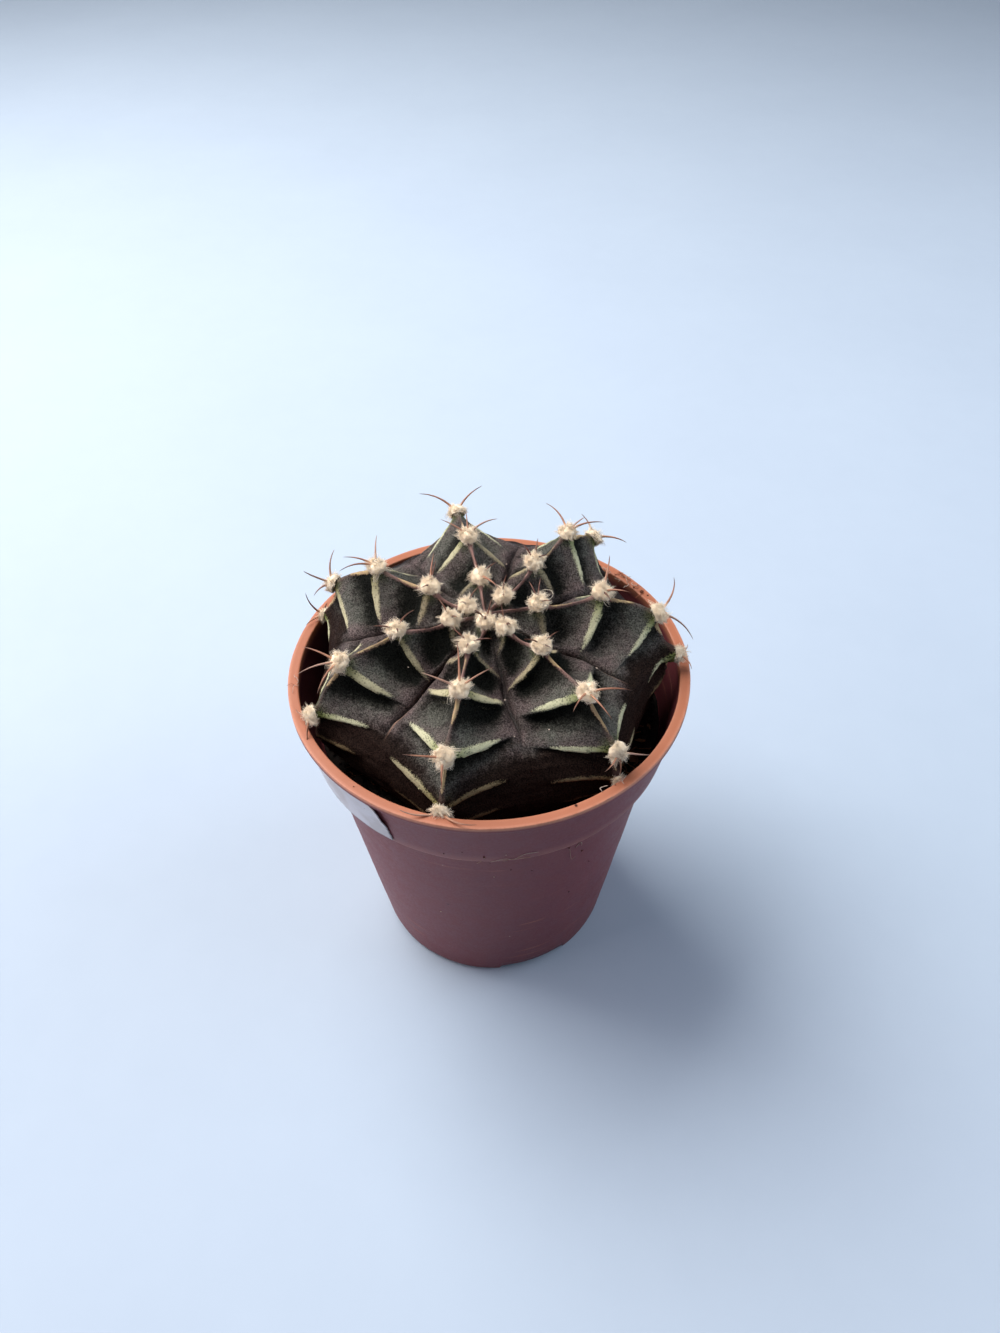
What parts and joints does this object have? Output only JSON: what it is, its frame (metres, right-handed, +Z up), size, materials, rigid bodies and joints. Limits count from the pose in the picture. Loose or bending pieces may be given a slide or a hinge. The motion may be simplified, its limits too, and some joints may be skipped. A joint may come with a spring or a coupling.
{
  "type": "potted chin cactus",
  "caption": "Low dark ribbed chin cactus with cream wool pads and short curved spines, growing in a small round plastic nursery pot.",
  "frame": {"origin": "centre of the pot's base, on the surface that it stands on", "axes": "+Z up along the pot's axis; +X to the right and -Y towards a viewer who faces rib 1 and sees the label at the left"},
  "size_m": [0.055, 0.055, 0.065],
  "materials": {
    "pot_plastic": "satin",
    "label_paper": "matte",
    "potting_mix": "matte",
    "plant_skin": "satin",
    "wool_and_spines": "matte"
  },
  "bodies": {
    "root": {"pot": "pot_plastic", "label": "label_paper", "soil": "potting_mix", "cactus_body": "plant_skin", "areole_1_1": "wool_and_spines", "areole_1_2": "wool_and_spines", "areole_1_3": "wool_and_spines", "areole_1_4": "wool_and_spines", "areole_1_5": "wool_and_spines", "areole_2_1": "wool_and_spines", "areole_2_2": "wool_and_spines", "areole_2_3": "wool_and_spines", "areole_2_4": "wool_and_spines", "areole_2_5": "wool_and_spines", "areole_3_1": "wool_and_spines", "areole_3_2": "wool_and_spines", "areole_3_3": "wool_and_spines", "areole_3_4": "wool_and_spines", "areole_4_1": "wool_and_spines", "areole_4_2": "wool_and_spines", "areole_4_3": "wool_and_spines", "areole_4_4": "wool_and_spines", "areole_5_1": "wool_and_spines", "areole_5_2": "wool_and_spines", "areole_5_3": "wool_and_spines", "areole_6_1": "wool_and_spines", "areole_6_2": "wool_and_spines", "areole_6_3": "wool_and_spines", "areole_6_4": "wool_and_spines", "areole_6_5": "wool_and_spines", "areole_7_1": "wool_and_spines", "areole_7_2": "wool_and_spines", "areole_7_3": "wool_and_spines", "areole_7_4": "wool_and_spines"}
  },
  "joints": []
}
